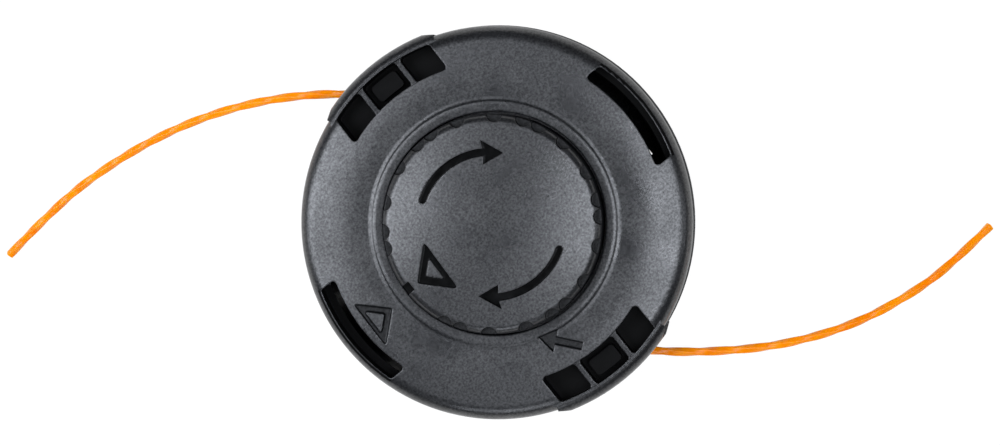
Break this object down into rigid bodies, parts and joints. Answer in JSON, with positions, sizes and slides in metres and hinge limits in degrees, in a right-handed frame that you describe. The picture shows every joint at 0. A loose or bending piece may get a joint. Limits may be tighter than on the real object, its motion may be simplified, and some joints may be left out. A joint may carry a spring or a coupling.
{
  "type": "bump feed trimmer head",
  "caption": "Round string trimmer head with a spring-loaded fluted bump knob, dished cover, line spool and two free line ends.",
  "frame": {"origin": "centre of the drive face that seats against the gear case", "axes": "+Z along the drive axis to the bump knob, X through the two latch slots, Y through the two line mouths"},
  "size_m": [0.2473, 0.1903, 0.0612],
  "materials": {
    "black_nylon": "fine grained",
    "knob_nylon": "fine grained",
    "spool_nylon": "smooth",
    "line": "satin",
    "steel": "machined",
    "spring_steel": "drawn wire",
    "eyelet": "polished"
  },
  "bodies": {
    "housing": {"housing": "black_nylon", "drive_insert": "steel", "cover": "black_nylon", "eyelet_a": "eyelet", "eyelet_b": "eyelet", "line_a": "line", "line_b": "line", "spring": "spring_steel"},
    "spring_seat": {"thrust_washer": "steel"},
    "spool": {"spool": "spool_nylon", "bump_knob": "knob_nylon", "line_winding_lower": "line", "line_winding_upper": "line"}
  },
  "joints": [
    {"name": "knob_bump", "type": "slide", "parent": "housing", "child": "spring_seat", "axis": [0, 0, -1], "range_m": [0, 0.006], "stiffness_N_per_m": 1500, "springref_m": -0.01, "deforming": ["spring"]},
    {"name": "spool_turn", "type": "hinge", "parent": "spring_seat", "child": "spool", "pos_m": [0, 0, 0.031], "axis": [0, 0, 1], "continuous": true}
  ]
}
